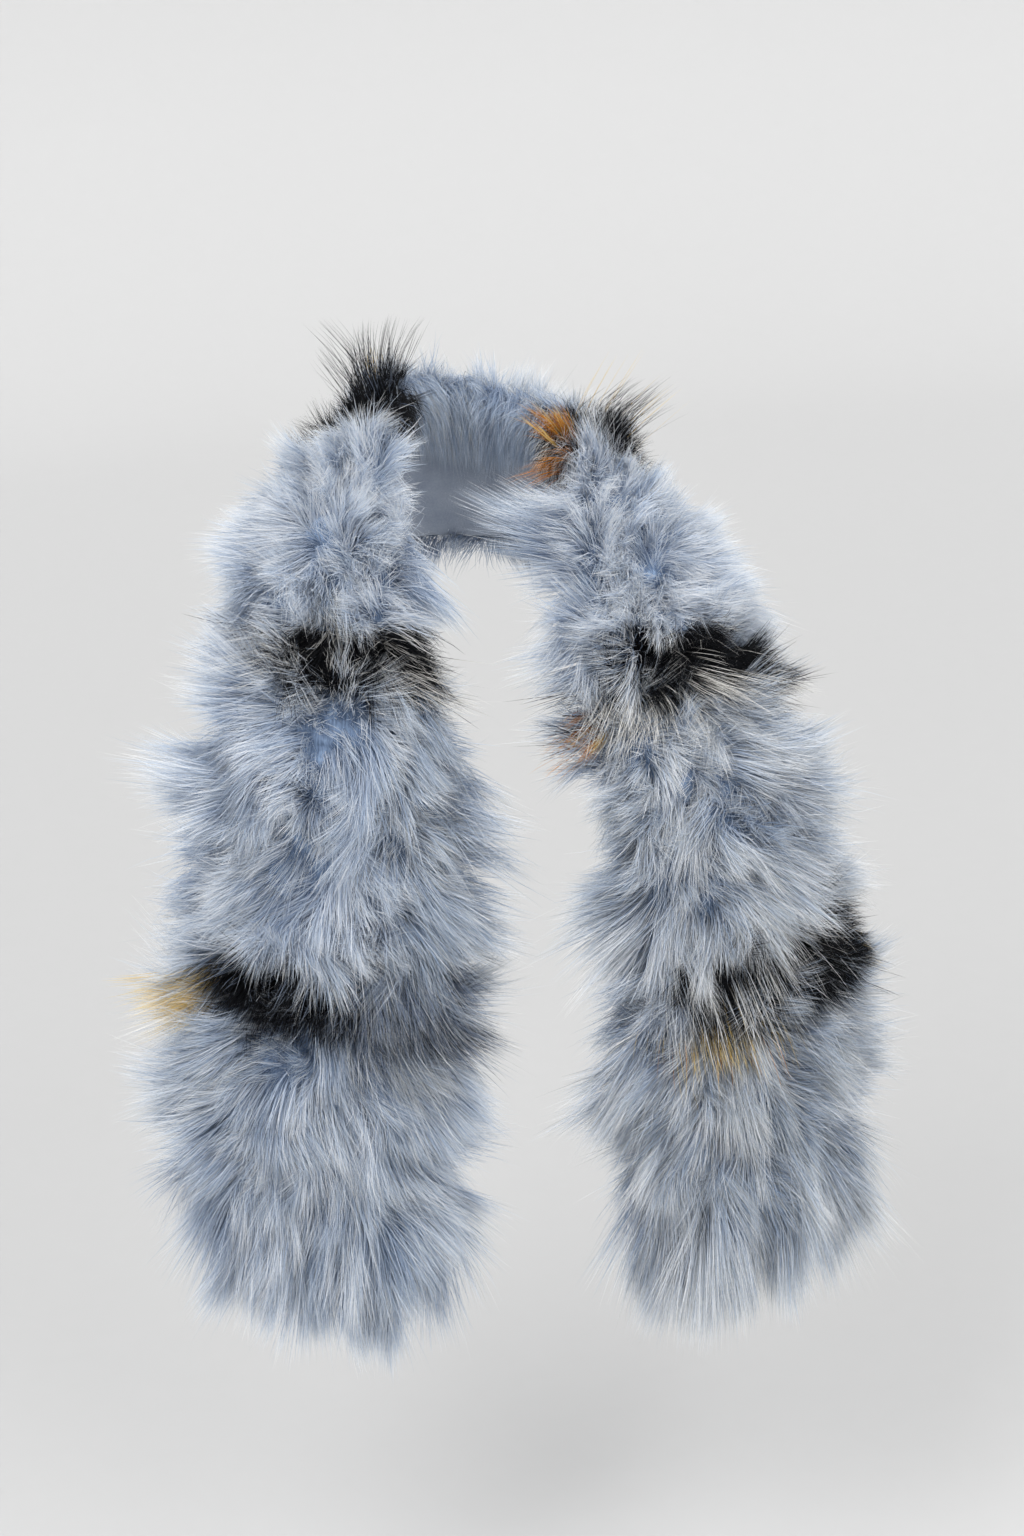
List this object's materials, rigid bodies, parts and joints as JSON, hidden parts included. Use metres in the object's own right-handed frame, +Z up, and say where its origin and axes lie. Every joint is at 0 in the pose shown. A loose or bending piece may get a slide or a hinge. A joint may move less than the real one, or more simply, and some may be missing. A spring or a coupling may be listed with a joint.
{
  "type": "fur stole",
  "caption": "Long stole of blue fur panels parted by narrow dark strips, worn round the neck with both ends hanging down in front.",
  "frame": {"origin": "at the nape: the skin side of the neck panel, on the middle line of the strip at the centre back, where the wearer's neck and shoulders carry the stole", "axes": "+Z up, -Y the wearer's front, +X the wearer's left"},
  "size_m": [0.5062, 0.3478, 0.6419],
  "materials": {
    "blue_fur": "deep dyed fox fur, pale blue grey with lighter hair tips",
    "dark_fur": "deep fox fur, near black with cream and ochre hair tips"
  },
  "bodies": {
    "root": {"right_end_panel": "blue_fur", "right_chest_panel": "blue_fur", "right_shoulder_panel": "blue_fur", "neck_panel": "blue_fur", "left_shoulder_panel": "blue_fur", "left_chest_panel": "blue_fur", "left_end_panel": "blue_fur", "right_strip_3": "dark_fur", "right_strip_2": "dark_fur", "right_strip_1": "dark_fur", "left_strip_1": "dark_fur", "left_strip_2": "dark_fur", "left_strip_3": "dark_fur"}
  },
  "joints": []
}
